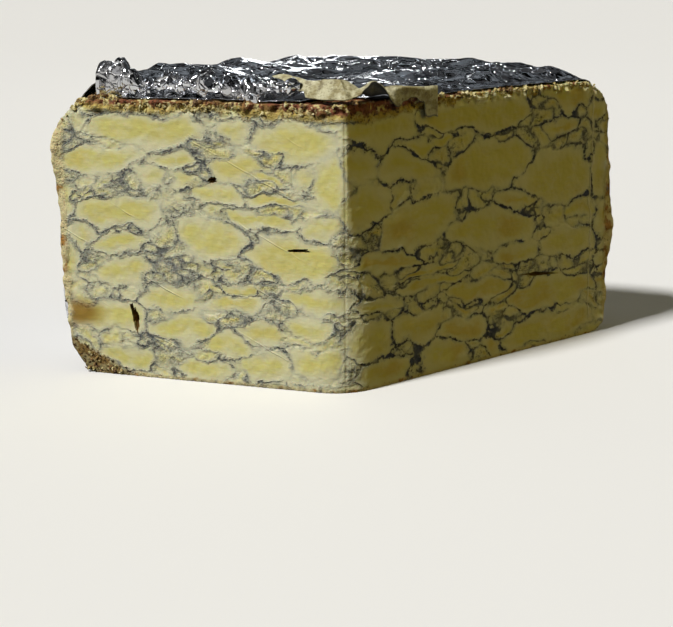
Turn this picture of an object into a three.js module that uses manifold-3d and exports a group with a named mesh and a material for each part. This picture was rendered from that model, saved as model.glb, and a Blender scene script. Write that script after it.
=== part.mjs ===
// A wedge of blue cheese cut from a drum, standing on its base and still in the foil it was wrapped in.
//
//   cheese       the wedge: two cut faces that meet at a front edge, a lumpy rind round the drum's side
//                with a rounded shoulder, a worn foot and a few open splits in the paste
//   foil_wrap    one crumpled sheet over the top and down the drum's side, with a hem rolled up above the
//                left face
//   label_strip  a bent paper strip round the front of the top edge, with a torn tab that hangs down at
//                its right end
//
// Millimetres, +Z up. The front edge points to -Y, and the origin is under the middle of the whole wedge.
import * as THREE from "three";
import { ImprovedNoise } from "three/addons/math/ImprovedNoise.js";
import { mergeVertices } from "three/addons/utils/BufferGeometryUtils.js";
import Module from "manifold-3d";

// Driving dimensions.
const DRUM_RADIUS = 100;
const DRUM_CENTRE = new THREE.Vector2(13, 2); // from the foot of the front edge
const HEIGHT = 82;
const HALF_ANGLE = THREE.MathUtils.degToRad(59.5); // between the middle of the wedge and each cut face
const SHOULDER = 14; // radius of the drum's top edge
const FOOT = 6; // radius of its bottom edge
const ORIGIN = new THREE.Vector3(10.2, 53.8, 0); // middle of the outline, from the foot of the front edge

const LEFT_BULGE = 2.2; // the drum's side stands out high up at the left face
const RIGHT_BULGE = 3; // and halfway up at the right one
const RIND_LUMPS = 1.1; // height of the rind's lumps
const PASTE_WAVES = 0.4; // unevenness of the wire-cut faces
const CRUST_CRUMBLE = 0.7; // raggedness of the top crust

const FOIL_THICKNESS = 0.8; // crumpled, so more than the bare foil
const FOIL_CLEARANCE = 1.4; // over the crust
const FOIL_START = 13; // from the front edge, under the label
const FOIL_LOWEST = 6; // height of its bottom edge above the base
const FOIL_INSET = 0.8; // from each cut face, on top
const FOIL_SETBACK_LEFT = 9.5; // and from there on round the drum's side
const FOIL_SETBACK_RIGHT = 4.5;
const FOIL_FLARE = 3; // where it comes away from the side, low at its left end
const FOIL_LOOSENESS = 3.2; // of the middle of the top
const FOIL_CRUMPLE = 1.3; // height of its creases on top
const SIDE_CRUMPLE = 0.7; // and on the side
const HEM_HEIGHT = 6.5; // of the roll above the left face
const HEM_KNOT = 4; // more at its far end, where the sheet is folded back
const HEM_WIDTH = 9;

const LABEL_THICKNESS = 0.8;
const LABEL_LEFT = 25; // reach of the strip along each cut face, from the front edge
const LABEL_RIGHT = 33;
const LABEL_DEPTH = 5.5; // from its front edge back over the crust
const LABEL_TILT = 5; // height of its back edge over its front one
const LABEL_TURN = 9; // how far its left end turns back behind the hem
const LABEL_ARCH = 5; // where the front edge stands off the crust, just right of the front corner
const LABEL_OVERHANG = 1.3; // below the crust at its right end
const TAB_WIDTH = 5; // torn end
const TAB_DROP = 4.3; // below the overhang
const GAP = 1.35; // between the label and what it lies on

const noise = new ImprovedNoise();
const { lerp, smoothstep } = THREE.MathUtils;

// Smooth noise from about -1 to 1 that changes over `size` mm.
const bumps = (p, size, seed = 0) =>
  1.6 * noise.noise(p.x / size + seed, p.y / size + seed * 0.37, p.z / size);

// A bell from 0 to 1 that is highest at `middle` and `width` wide either side.
const bell = (x, middle, width) => Math.exp(-(((x - middle) / width) ** 2));

const direction = (azimuth) => new THREE.Vector2(Math.cos(azimuth), Math.sin(azimuth));
// `across` runs from 0 at the right face to 1 at the left one.
const azimuthAt = (across) => Math.PI / 2 + (2 * across - 1) * HALF_ANGLE;

// From the front edge to the drum's side in a direction.
function reach(azimuth) {
  const along = direction(azimuth).dot(DRUM_CENTRE);
  return along + Math.sqrt(DRUM_RADIUS ** 2 - DRUM_CENTRE.lengthSq() + along ** 2);
}

// The drum's side from its foot to its top, with x counted from the reach.
const side = new THREE.Path();
side.moveTo(-FOOT, 0);
side.absarc(-FOOT, FOOT, FOOT, -Math.PI / 2, 0, false);
side.lineTo(0, HEIGHT - SHOULDER);
side.absarc(-SHOULDER, HEIGHT - SHOULDER, SHOULDER, 0, Math.PI / 2, false);
const SIDE_LENGTH = side.getLength();

function bulge(across, z) {
  const right = RIGHT_BULGE * bell(z, 36, 17);
  const left = LEFT_BULGE * bell(z, 62, 26);
  return lerp(right, left, smoothstep(across, 0.2, 0.8));
}

// The foot of the rind has broken away slantwise at the left face.
const leftDent = (across, z) => 6 * smoothstep(across, 0.9, 1) * bell(z, 0, 9);

// A closed solid of the points that `place` gives for a box's grid, once what it folds together is merged.
function mapped(place, ...steps) {
  const box = new THREE.BoxGeometry(1, 1, 1, ...steps).deleteAttribute("normal").deleteAttribute("uv");
  const at = box.getAttribute("position");
  for (let i = 0; i < at.count; i++) {
    const p = place(at.getX(i) + 0.5, at.getY(i) + 0.5, at.getZ(i) + 0.5);
    at.setXYZ(i, p.x, p.y, p.z);
  }
  const merged = mergeVertices(box, 1e-3);
  const corners = merged.index.array;
  const kept = [];
  for (let i = 0; i < corners.length; i += 3) {
    const [a, b, c] = corners.slice(i, i + 3);
    if (a !== b && b !== c && c !== a) kept.push(a, b, c);
  }
  merged.setIndex(kept);
  merged.computeVertexNormals();
  return merged;
}

// Moves each point along its own normal.
function relieve(geometry, height) {
  const at = geometry.getAttribute("position");
  const normals = geometry.getAttribute("normal");
  for (let i = 0; i < at.count; i++) {
    const p = new THREE.Vector3().fromBufferAttribute(at, i);
    const n = new THREE.Vector3().fromBufferAttribute(normals, i);
    p.addScaledVector(n, height(p, n));
    at.setXYZ(i, p.x, p.y, p.z);
  }
}

const wasm = await Module();
wasm.setup();

function solidOf(geometry) {
  const bare = geometry.clone().deleteAttribute("normal").deleteAttribute("uv");
  const closed = mergeVertices(bare.index ? bare.toNonIndexed() : bare, 1e-3);
  const vertProperties = closed.getAttribute("position").array;
  const triVerts = new Uint32Array(closed.index.array);
  return new wasm.Manifold(new wasm.Mesh({ numProp: 3, vertProperties, triVerts }));
}

function geometryOf(solid) {
  const { vertProperties, triVerts } = solid.getMesh();
  const geometry = new THREE.BufferGeometry();
  geometry.setAttribute("position", new THREE.BufferAttribute(vertProperties, 3));
  geometry.setIndex(new THREE.BufferAttribute(triVerts, 1));
  geometry.computeVertexNormals();
  return geometry;
}

// ---- the cheese

// The wedge is a box whose inner side shuts on the front edge and whose outer side is the rind.
function cheesePoint(up, outward, across) {
  const azimuth = azimuthAt(across);
  const edge = side.getPointAt(up);
  const radius = outward * (reach(azimuth) + edge.x + bulge(across, edge.y) - leftDent(across, edge.y));
  const { x, y } = direction(azimuth).multiplyScalar(radius);
  return new THREE.Vector3(x, y, edge.y);
}

// Lumps on the rind, waves on the cut faces, a crumbly crust on top and a flat base.
function cheeseRelief(p, n) {
  if (p.z < 0.01) return 0;
  const flat = new THREE.Vector2(p.x, p.y);
  const fromSide = DRUM_RADIUS - flat.distanceTo(DRUM_CENTRE);
  const isRind = smoothstep(-fromSide, -6, 0) * (1 - Math.abs(n.z));
  const rind = RIND_LUMPS * (0.7 * bumps(p, 19) + 0.5 * bumps(p, 9, 5.3)) * isRind;
  const paste = PASTE_WAVES * bumps(p, 34, 2.1) * (1 - isRind);
  const crust = CRUST_CRUMBLE * bumps(p, 8, 8.6) * smoothstep(p.z, HEIGHT - 3, HEIGHT);
  return (rind + paste + crust) * smoothstep(p.z, 0, 4);
}

// An open split in the paste: a thin slot `long` by `tall` that runs into a cut face at a place along it.
function split(azimuth, along, z, long, tall, tilt, depth) {
  const slot = new THREE.SphereGeometry(0.5, 8, 6);
  slot.scale(long, 2 * depth, tall);
  slot.rotateY(tilt);
  slot.rotateZ(azimuth);
  const { x, y } = direction(azimuth).multiplyScalar(along);
  slot.translate(x, y, z);
  return solidOf(slot);
}

const LEFT = azimuthAt(1);
const RIGHT = azimuthAt(0);
const splits = [
  split(LEFT, 66.5, 18.5, 1.3, 7.5, 0.12, 3), // upright, low on the left face
  split(LEFT, 14.5, 41, 5.5, 1, 0.03, 2.5), // level, near the front edge
  split(LEFT, 40, 60, 2.6, 1.6, 0.3, 2),
  split(RIGHT, 79, 23.5, 15, 1.3, -0.1, 2),
];

function cheeseGeometry() {
  const wedge = mapped(cheesePoint, 22, 17, 34);
  relieve(wedge, cheeseRelief);
  return geometryOf(splits.reduce((solid, slot) => solid.subtract(slot), solidOf(wedge)));
}

// ---- the foil

// Folds with sharp ridges, from -0.5 to 0.5, that repeat over `size` mm in a direction and wander a little.
function crease(p, angle, size, seed) {
  const straight = (p.x * Math.cos(angle) + p.y * Math.sin(angle) + 0.7 * p.z) / size;
  const along = straight + seed + 0.5 * bumps(p, 30, seed);
  return Math.abs(along - Math.floor(along) - 0.5) * 2 - 0.5;
}

const crumple = (p) =>
  crease(p, 0.5, 23, 0.2) + 0.8 * crease(p, 2.1, 17, 0.6) + 0.6 * crease(p, 1.2, 11, 0.9);

// How far the top sheet stands over its lowest lie, with the hem rolled up above the left face.
function foilLift(p) {
  const radius = Math.hypot(p.x, p.y);
  const azimuth = Math.atan2(p.y, p.x);
  const fromLeft = radius * Math.sin(LEFT - azimuth);
  const fromRight = radius * Math.sin(azimuth - RIGHT);
  const puffed = smoothstep(fromLeft, 0, 22) * smoothstep(fromRight, 0, 60) * smoothstep(radius, 10, 50);
  const rising = smoothstep(fromLeft, -0.5, 2.5) * smoothstep(radius, FOIL_START, 21);
  const rolled = rising * (1 - smoothstep(fromLeft, 0.45 * HEM_WIDTH, 1.9 * HEM_WIDTH));
  const hem = HEM_HEIGHT * (1 + 0.25 * bumps(p, 13, 3.3)) + HEM_KNOT * bell(radius, 74, 6);
  const creased = smoothstep(Math.min(fromLeft, fromRight), 0, 9) * smoothstep(radius, FOIL_START, 34);
  return FOIL_LOOSENESS * puffed + hem * rolled + FOIL_CRUMPLE * (crumple(p) + 1.2) * creased;
}

// `along` runs from under the label over the top and down the drum's side, `outward` through the sheet.
function foilPoint(along, across, outward) {
  // Columns gather near the two cut faces, and the sheet's ends draw back from them down the side.
  const spread = across - Math.sin(4 * Math.PI * across) * 0.035 - Math.sin(2 * Math.PI * across) * 0.02;
  const onTop = reach(azimuthAt(spread)) - SHOULDER;
  const path = lerp(FOIL_START, onTop + SIDE_LENGTH - FOOT * (Math.PI / 2 - 1) - FOIL_LOWEST, along);
  const down = Math.max(path - onTop, 0);
  const bareLeft = FOIL_SETBACK_LEFT * smoothstep(path - onTop, -8, 2);
  const bareRight = FOIL_SETBACK_RIGHT * smoothstep(path - onTop, 2, 16);
  const leftmost = LEFT - FOIL_INSET / path - bareLeft / DRUM_RADIUS;
  const rightmost = RIGHT + FOIL_INSET / path + bareRight / DRUM_RADIUS;
  const azimuth = THREE.MathUtils.clamp(azimuthAt(spread), rightmost, leftmost);
  const up = 1 - down / SIDE_LENGTH;
  const edge = side.getPointAt(up);
  const tangent = side.getTangentAt(up);
  const normal = down > 0 ? new THREE.Vector2(tangent.y, -tangent.x) : new THREE.Vector2(0, 1);
  const from = down > 0 ? reach(azimuth) + edge.x + bulge(across, edge.y) : path;
  const lie = new THREE.Vector3(from * Math.cos(azimuth), from * Math.sin(azimuth), edge.y);
  const onSide = SIDE_CRUMPLE * (crumple(lie) + 1.2) * smoothstep(down, 4, 18);
  const flare = FOIL_FLARE * smoothstep(across, 0.85, 1) * bell(edge.y, 14, 14);
  const lift = foilLift(lie) * (1 - smoothstep(down, 0, SHOULDER)) + onSide + flare;
  const off = FOIL_CLEARANCE + lift + outward * FOIL_THICKNESS;
  const flat = from + normal.x * off;
  return new THREE.Vector3(flat * Math.cos(azimuth), flat * Math.sin(azimuth), edge.y + normal.y * off);
}

// ---- the label strip

// The place `run` mm round the front corner, from the left face (below 0) to the right one, and `back` mm
// behind the cut faces.
function roundCorner(run, back) {
  const way = direction(run < 0 ? LEFT : RIGHT);
  const intoLeft = direction(LEFT - Math.PI / 2);
  const intoRight = direction(RIGHT + Math.PI / 2);
  const inward = intoLeft.lerp(intoRight, smoothstep(run, -5, 5)).normalize();
  return way.multiplyScalar(Math.abs(run)).addScaledVector(inward, back);
}

// `along` runs round the front corner, `across` from the strip's front edge back over the foil, `outward`
// through the paper. The strip leans on the foil left of the corner, where its end turns back behind the
// hem, arches off the crust right of it, and then folds down over the edge.
function labelPoint(along, across, outward) {
  const run = lerp(-LABEL_LEFT, LABEL_RIGHT, along);
  const turned = smoothstep(-run, 8, LABEL_LEFT);
  const folded = smoothstep(run, 13, 18);
  const upEdge = Math.min(across / 0.5, 1); // of the folded part, which goes up over the edge
  const overFoil = Math.max(across / 0.5 - 1, 0); // and then back over the foil
  const leaningBack = lerp(-0.6, LABEL_DEPTH, across) + LABEL_TURN * turned;
  const back = lerp(leaningBack, lerp(-1, 3.4, overFoil), folded);
  const p = roundCorner(run, back);

  const sheetTop = HEIGHT + FOIL_CLEARANCE + FOIL_THICKNESS;
  const arch = LABEL_ARCH * bell(run, 10.5, 4.5) * (1 - 0.7 * across);
  const leaning = HEIGHT + 1 + LABEL_TILT * across + 3.5 * turned + arch;
  const torn = TAB_DROP * smoothstep(run, LABEL_RIGHT - TAB_WIDTH - 2, LABEL_RIGHT - TAB_WIDTH);
  const hanging = lerp(HEIGHT - LABEL_OVERHANG - torn, sheetTop + GAP, upEdge);
  const overSheet = sheetTop + GAP + foilLift(new THREE.Vector3(p.x, p.y, HEIGHT));
  const liesOnFoil = p.length() > FOIL_START - 4 && back > -0.7;
  const z = Math.max(lerp(leaning, hanging, folded), liesOnFoil ? overSheet : 0);

  const facingUp = lerp(1, smoothstep(across, 0.35, 0.65), folded);
  const out = roundCorner(run, back - outward * LABEL_THICKNESS * (1 - facingUp));
  return new THREE.Vector3(out.x, out.y, z + outward * LABEL_THICKNESS * facingUp);
}

const made = {
  cheese: [cheeseGeometry(), { color: 0xc9bd76, roughness: 0.55 }],
  foil_wrap: [mapped(foilPoint, 30, 44, 1), { color: 0x9c9c9c, roughness: 0.3, metalness: 1 }],
  label_strip: [mapped(labelPoint, 29, 6, 1), { color: 0xa8a07a, roughness: 0.8 }],
};

const wedge = new THREE.Group();
wedge.position.copy(ORIGIN).negate();
for (const [name, [geometry, look]] of Object.entries(made)) {
  const mesh = new THREE.Mesh(geometry, new THREE.MeshStandardMaterial(look));
  mesh.name = name;
  wedge.add(mesh);
}

export default wedge;
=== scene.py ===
# A wedge of blue cheese cut from a drum and still in the foil it was wrapped in, on a pale studio floor.
import math
import random

import bmesh
import bpy
import numpy as np
from mathutils import Matrix, Vector, noise


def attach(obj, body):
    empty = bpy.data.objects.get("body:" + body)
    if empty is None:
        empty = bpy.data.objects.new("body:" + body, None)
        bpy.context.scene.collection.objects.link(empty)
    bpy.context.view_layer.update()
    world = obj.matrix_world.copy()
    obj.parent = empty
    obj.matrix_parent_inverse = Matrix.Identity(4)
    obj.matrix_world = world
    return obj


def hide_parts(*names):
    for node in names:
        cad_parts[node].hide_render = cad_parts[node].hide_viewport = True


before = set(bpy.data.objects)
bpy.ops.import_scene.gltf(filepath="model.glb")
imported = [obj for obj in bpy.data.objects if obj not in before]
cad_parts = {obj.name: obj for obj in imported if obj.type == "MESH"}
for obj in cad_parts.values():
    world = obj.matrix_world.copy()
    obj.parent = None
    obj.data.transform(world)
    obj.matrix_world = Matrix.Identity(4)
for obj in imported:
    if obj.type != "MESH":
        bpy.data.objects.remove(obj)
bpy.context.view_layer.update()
bpy.ops.object.select_all(action="DESELECT")
mm = 0.001

# ======== Studio floor, camera and lamps ========
# A matt pale sheet that the wedge stands on, a long lens a little above it, a soft key lamp at the front
# left that leaves the right face in shade, and warm and cool cards that the foil mirrors.

VIEW_TURN = math.radians(-10)
VIEW_DOWN = math.radians(13.5)
VIEW_ROLL = math.radians(-0.8)
CAMERA_PLACE = Vector((-84.0, -455.1, 122)) * mm
LENS = 80.24  # on a sensor 36 wide
FLOOR_SIZE = 60  # metres
FLOOR_COLOUR = (0.86, 0.86, 0.85)
BACKDROP_COLOUR = (0.72, 0.72, 0.71)

# Suns: tilt and turn in degrees, strength, softness in degrees and colour. Only the key shows in the foil.
SUNS = {
    "key": (40, -62, 3.6, 9, (1, 0.985, 0.96)),
    "warm_fill": (74, 66, 0.49, 50, (1, 0.77, 0.03)),
    "overhead": (0, 0, 0.22, 170, (0.95, 0.98, 1)),
}
# Cards that light nothing and show only in the foil: place, width and height in metres, watts and colour.
CARDS = [
    ((0.2, 1.25, 0.23), (0.12, 0.24), 0.9, (0.95, 0.98, 1)),
    ((0.3, 1.6, 0.8), (1.8, 0.5), 0.7, (0.84, 0.92, 1)),
    ((-0.5, 0.3, 1.3), (0.7, 0.3), 1.2, (0.85, 0.92, 1)),
    ((-0.7, -1.9, 0.6), (2.2, 0.8), 3.2, (1, 0.99, 0.97)),
    ((0.1, 0.1, 1.7), (2.4, 2.4), 1.1, (0.95, 0.97, 1)),
    ((1.8, 0.2, 0.65), (1.8, 1), 0.9, (0.95, 0.97, 1)),
    ((-1.9, 0.5, 0.65), (1.8, 1), 0.9, (1, 0.98, 0.95)),
]
CARD_AIM = Vector((0, 0.02, 0.085))  # what the cards face

MIX_SHARE, MIX_FIRST, MIX_SECOND, MIX_RESULT = 0, 6, 7, 2  # a Mix node's sockets for colours


class Wire:
    """A socket of a finish, on which plain arithmetic adds Math nodes."""

    def __init__(self, finish, socket):
        self.finish = finish
        self.socket = socket

    def math(self, operation, *values):
        return self.finish.node("Math", {"operation": operation}, dict(enumerate(values)))

    def __add__(self, other):
        return self.math("ADD", self, other)

    def __sub__(self, other):
        return self.math("SUBTRACT", self, other)

    def __rsub__(self, other):
        return self.math("SUBTRACT", other, self)

    def __mul__(self, other):
        return self.math("MULTIPLY", self, other)

    __radd__ = __add__
    __rmul__ = __mul__

    def __abs__(self):
        return self.math("ABSOLUTE", self)

    def lowest(self, other):
        return self.math("MINIMUM", self, other)

    def highest(self, other):
        return self.math("MAXIMUM", self, other)

    def rise(self, low, high):
        """From 0 at low to 1 at high, with soft ends. Falls where low is the greater."""
        sockets = {"Value": self, "From Min": low, "From Max": high}
        return self.finish.node("MapRange", {"interpolation_type": "SMOOTHSTEP"}, sockets)


class Finish:
    """A material under construction."""

    def __init__(self, name):
        self.material = bpy.data.materials.new(name)
        self.material.use_nodes = True
        self.tree = self.material.node_tree
        self.tree.nodes.clear()
        self.place = self.node("TexCoord", {}, {}, "Object")

    def node(self, kind, settings, sockets, output=0):
        made = self.tree.nodes.new("ShaderNode" + kind)
        for name, value in settings.items():
            setattr(made, name, value)
        for name, value in sockets.items():
            if isinstance(value, Wire):
                self.tree.links.new(value.socket, made.inputs[name])
            elif value is not None:
                made.inputs[name].default_value = value
        return Wire(self, made.outputs[output])

    def attribute(self, name, output="Fac"):
        return self.node("Attribute", {"attribute_name": name}, {}, output)

    def noise(self, size, detail=2.0, place=None, output="Fac", **more):
        """Noise whose bumps are about `size` metres wide."""
        sockets = {"Vector": place or self.place, "Scale": 1 / size, "Detail": detail, **more}
        return self.node("TexNoise", {}, sockets, output)

    def vector(self, operation, *values, output=0):
        return self.node("VectorMath", {"operation": operation}, dict(enumerate(values)), output)

    def length(self, vector):
        return self.vector("LENGTH", vector, output=1)

    def dot(self, first, second):
        return self.vector("DOT_PRODUCT", first, second, output=1)

    def parts(self, vector):
        """The three numbers of a vector."""
        return [self.node("SeparateXYZ", {}, {0: vector}, axis) for axis in range(3)]

    def shifted(self, *offset):
        return self.vector("ADD", self.place, offset)

    def squeezed(self, *factors):
        """Places for a noise, finer along an axis whose factor is over 1 and drawn out where it is less."""
        return self.vector("MULTIPLY", self.place, factors)

    def mix(self, share, first, second):
        """Colours: all first at a share of 0, all second at 1."""
        first, second = ((*c, 1.0) if isinstance(c, tuple) else c for c in (first, second))
        sockets = {MIX_SHARE: share, MIX_FIRST: first, MIX_SECOND: second}
        return self.node("Mix", {"data_type": "RGBA"}, sockets, MIX_RESULT)

    def coats(self, colour, *coats):
        """Lays colours over a first one, each with its share."""
        for share, coat in coats:
            colour = self.mix(share, colour, coat)
        return colour

    def surface(self, *reliefs, **sockets):
        """Ends the finish. Each relief is a height from 0 to 1 and what it stands for in metres."""
        normal = None
        for height, depth in reliefs:
            normal = self.node("Bump", {}, {"Height": height, "Distance": depth, "Normal": normal})
        titles = {key: key.replace("_", " ").title().replace("Ior", "IOR") for key in sockets}
        named = {titles[key]: value for key, value in sockets.items()}
        shader = self.node("BsdfPrincipled", {}, {**named, "Normal": normal})
        out = self.tree.nodes.new("ShaderNodeOutputMaterial")
        self.tree.links.new(shader.socket, out.inputs["Surface"])
        return self.material


bpy.ops.mesh.primitive_plane_add(size=FLOOR_SIZE)
floor = bpy.context.object
floor.name = "studio_floor"
floor.visible_diffuse = False
pale_sheet = Finish("pale_sheet")
floor.data.materials.append(pale_sheet.surface(base_color=(*FLOOR_COLOUR, 1), roughness=0.8))

turn = Matrix.Rotation(VIEW_TURN, 4, "Z") @ Matrix.Rotation(math.pi / 2 - VIEW_DOWN, 4, "X")
facing = (turn @ Matrix.Rotation(VIEW_ROLL, 4, "Z")).to_euler()
bpy.ops.object.camera_add(location=CAMERA_PLACE, rotation=facing)
camera = bpy.context.object
camera.data.lens = LENS
bpy.context.scene.camera = camera

for name, (tilt, turned, strength, softness, colour) in SUNS.items():
    bpy.ops.object.light_add(type="SUN", rotation=(math.radians(tilt), 0, math.radians(turned)))
    sun = bpy.context.object
    sun.name = name
    sun.data.energy = strength
    sun.data.angle = math.radians(softness)
    sun.data.color = colour
    sun.visible_glossy = name == "key"

for place, size, watts, colour in CARDS:
    facing = (CARD_AIM - Vector(place)).to_track_quat("-Z", "Y").to_euler()
    bpy.ops.object.light_add(type="AREA", location=place, rotation=facing)
    card = bpy.context.object
    card.data.shape = "RECTANGLE"
    card.data.size, card.data.size_y = size
    card.data.energy = watts
    card.data.color = colour
    card.visible_diffuse = False

world = bpy.data.worlds.new("studio")
bpy.context.scene.world = world
world.use_nodes = True
world.node_tree.nodes["Background"].inputs["Color"].default_value = (*BACKDROP_COLOUR, 1)
for ray in ("diffuse", "glossy", "transmission", "scatter"):
    setattr(world.cycles_visibility, ray, False)  # a pale backdrop that lights nothing
bpy.context.scene.view_settings.view_transform = "Standard"

# ======== The cheese ========
# A pressed drum of curds that was pierced, so that blue mould runs along the joins between them. It was cut
# twice from its crust towards the middle, which leaves two flat faces that meet at the front edge.

DRUM_RADIUS = 100 * mm
DRUM_SIDES = 200
HEIGHT = 82 * mm
SHOULDER = 14 * mm
FOOT = 6 * mm
TIP = Vector((-10.2, -53.8, 0)) * mm  # the foot of the front edge
DRUM_CENTRE = TIP + Vector((13, 2, 0)) * mm
LEFT = math.radians(90 + 59.5)  # the way each cut face runs from the front edge
RIGHT = math.radians(90 - 59.5)
LEFT_LENGTH, RIGHT_LENGTH = 89, 112  # of the cut faces, in millimetres

RIND_LUMPS = 0.9 * mm
RIND_PITS = 0.35 * mm
CRUMBLE = 1 * mm  # of the crust where a cut face breaks it
CRUST_DEPTH = 4.2  # in millimetres
PASTE_WAVES = 0.25 * mm
PASTE_GRAIN = 0.06 * mm
VEIN_DEPTH = 0.22 * mm
VEIN_GRIT = 0.08 * mm
FOOT_DENT = 3.4  # in millimetres, where the left foot broke away
DENT_HEIGHT, DENT_BREADTH = 3, 4.6
WORN_EDGE = 15 * mm  # radius of the front edge low down, where it has slumped
SHARP_EDGE = 2.5 * mm  # and at the top
SLUMP_FROM, SLUMP_TO = 62, 26  # heights in millimetres between which it slumps
VOXEL = 0.62 * mm
HIDDEN_DEPTH = 14 * mm  # behind both cut faces, from where foil hides the cheese
UNDERSIDE_INSET = 2 * mm
HIDDEN_SHARE = 0.2  # of the triangles kept in those places

# How the drum's side bulges, in millimetres: how far, at what height and how broadly.
LEFT_BULGES = [(2.2, 62, 26), (1, 29, 12)]
RIGHT_BULGES = [(3, 36, 17)]

# Curds that show in each cut face: place along it from the front edge, height, half length, half height in
# millimetres, and tilt in degrees.
LEFT_CURDS = [
    (60, 74, 17, 4.6, 0), (33, 73.5, 6, 2.8, 5), (15, 71.5, 11.5, 5.6, 4), (75, 65, 13, 3.8, -3),
    (52, 65.8, 8, 2.4, -4), (32, 64, 9.5, 4.6, -3), (5, 59, 6.5, 8, 0), (59, 60.5, 4, 2.6, 0),
    (49, 59.5, 4, 3.6, 10), (41, 56, 9, 3.6, 6), (23, 60.5, 6, 2.2, 8), (22, 54.6, 9.5, 1.9, 3),
    (12, 62, 3.5, 3, 40), (70, 49.6, 13.5, 4.3, -4), (86, 54, 3.6, 5, 0), (27, 49, 12, 1.9, 3),
    (7, 48, 6, 2.8, -6), (42, 43, 12, 5.6, 6), (16, 38.8, 14.5, 6.6, 2), (82, 41.5, 3.6, 4, 0),
    (86, 33, 3, 6, 0), (70, 40.2, 9, 2.5, -5), (69, 32, 9.5, 3.6, -3), (33, 29, 8, 1.9, 0),
    (55, 24.6, 9.5, 4, -4), (35, 25, 9, 3, -8), (9, 26.8, 9.5, 3.2, 2), (76, 17.5, 13, 5, -2),
    (50, 16, 11, 4.4, 0), (70, 6, 11, 4.4, 3), (37, 12, 9, 4, 6), (25, 17, 8, 3.8, 0), (12, 18.5, 8, 3.3, 4),
    (45, 4.5, 9, 3.6, 0), (27, 6.5, 9, 4, -4), (10, 9, 9, 4.4, 0),
]
RIGHT_CURDS = [
    (12, 74.5, 13, 4, 0), (52, 75.3, 24, 4.3, 0), (92, 77.8, 11, 3.6, -4), (5, 65, 7, 3.4, 0),
    (24, 63, 11, 3.6, -8), (33, 68.6, 12, 1.6, 0), (57, 60, 19, 7, 2), (7, 53, 10.5, 5.6, 0),
    (28, 47, 15.5, 6.6, 10), (58, 41.2, 19, 4.8, -4), (88, 53.5, 15.5, 9, 0), (88, 69, 8.5, 2.3, 0),
    (106, 72, 5, 4, 0), (107, 55, 3.6, 7.5, 0), (107, 38, 3.6, 5, 0), (14, 36.2, 13.5, 1.8, -2),
    (70, 48, 9, 1.6, -9), (96, 42.3, 8, 2.7, -5), (91, 32, 12, 4.4, -2), (69, 31.6, 10, 3, 4),
    (31, 31.5, 13.5, 1, 2), (34, 27.8, 14, 1.4, -2), (12, 24, 9, 1.6, -8), (52, 22.4, 15, 2.5, -4),
    (85, 17, 21, 4.6, 0), (84, 5.4, 21, 4.4, 0), (8, 14, 9, 4.8, 0), (28, 15.5, 10, 3.8, 3),
    (46, 11.5, 9, 4, -5), (14, 4.8, 11, 4, 0), (38, 5, 10, 3.6, 0), (58, 5, 4, 3.6, 0),
]
CURD_DEPTH = 6  # into the cheese
SMALL_CURD = (1.8, 6.4)  # half length of those that fill the joins
SMALL_SLIMNESS = (0.3, 0.6)  # their height over their length
SMALL_TILT = 20  # degrees, more or less
LEFT_SPACING, RIGHT_SPACING = 4.8, 7  # of those in each face
SMALL_FLATNESS = 0.7  # of the rows that they stand in
SMALL_CLEARANCE = 0.6  # least way from a large curd to the middle of a small one
SMALL_PRESSED = 0.9  # how far the large curds press the small ones back
GROUPS = 9  # touching curds are put in different ones, as far as nine go round
NEIGHBOURS = 4  # curds looked at round each point
TOUCHING = 5  # millimetres between curds that count as touching
WANDERS = [(9, 1.5, (1.3, 4.1, 7.7)), (3.2, 0.5, (2.3, 5.1, 8.7))]  # of the joins: size, how far, seeds


def direction(azimuth):
    """The level way at an azimuth, with a length of 1."""
    return Vector((math.cos(azimuth), math.sin(azimuth), 0))


def bell(x, middle, width):
    """1 at the middle, falling off to 0 on both sides."""
    return np.exp(-(((x - middle) / width) ** 2))


def smooth(x, low, high):
    """From 0 at low to 1 at high, with soft ends."""
    t = np.clip((x - low) / (high - low), 0, 1)
    return t * t * (3 - 2 * t)


def bumps(points, size, seed=0.0):
    """Noise from about -1 to 1 at each point, with bumps `size` wide."""
    return np.array([noise.noise(Vector(p)) for p in points / size + seed]) * 1.5


def read_points(piece, what="co"):
    flat = np.empty(len(piece.data.vertices) * 3, np.float32)
    piece.data.vertices.foreach_get(what, flat)
    return flat.reshape(-1, 3).astype(float)


def move_points(piece, points):
    piece.data.vertices.foreach_set("co", points.astype(np.float32).ravel())
    piece.data.update()


def select_in(piece, elements, wanted):
    """Selects, in edit mode, just the faces or edges whose middle is wanted."""
    bpy.ops.mesh.select_all(action="DESELECT")
    mesh = bmesh.from_edit_mesh(piece.data)
    for element in getattr(mesh, elements):
        if wanted(sum((v.co for v in element.verts), Vector()) / len(element.verts)):
            element.select_set(True)
    mesh.select_flush(True)
    bmesh.update_edit_mesh(piece.data)


def apply_modifier(piece, kind, **settings):
    modifier = piece.modifiers.new(kind.lower(), kind)
    for name, value in settings.items():
        setattr(modifier, name, value)
    bpy.context.view_layer.objects.active = piece
    bpy.ops.object.modifier_apply(modifier=modifier.name)


def store(piece, name, values):
    """Keeps a number, or three, at each point of a piece for its finish to read."""
    kind, field = ("FLOAT", "value") if values.ndim == 1 else ("FLOAT_VECTOR", "vector")
    piece.data.attributes.new(name, kind, "POINT").data.foreach_set(field, values.ravel())


def side_bulge(height, across):
    """How far the drum's side stands out in millimetres. Across is 0 at the right face and 1 at the left."""
    share = smooth(across, 0.2, 0.8)
    left = sum(far * bell(height, middle, breadth) for far, middle, breadth in LEFT_BULGES)
    right = sum(far * bell(height, middle, breadth) for far, middle, breadth in RIGHT_BULGES)
    return right * (1 - share) + left * share


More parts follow.
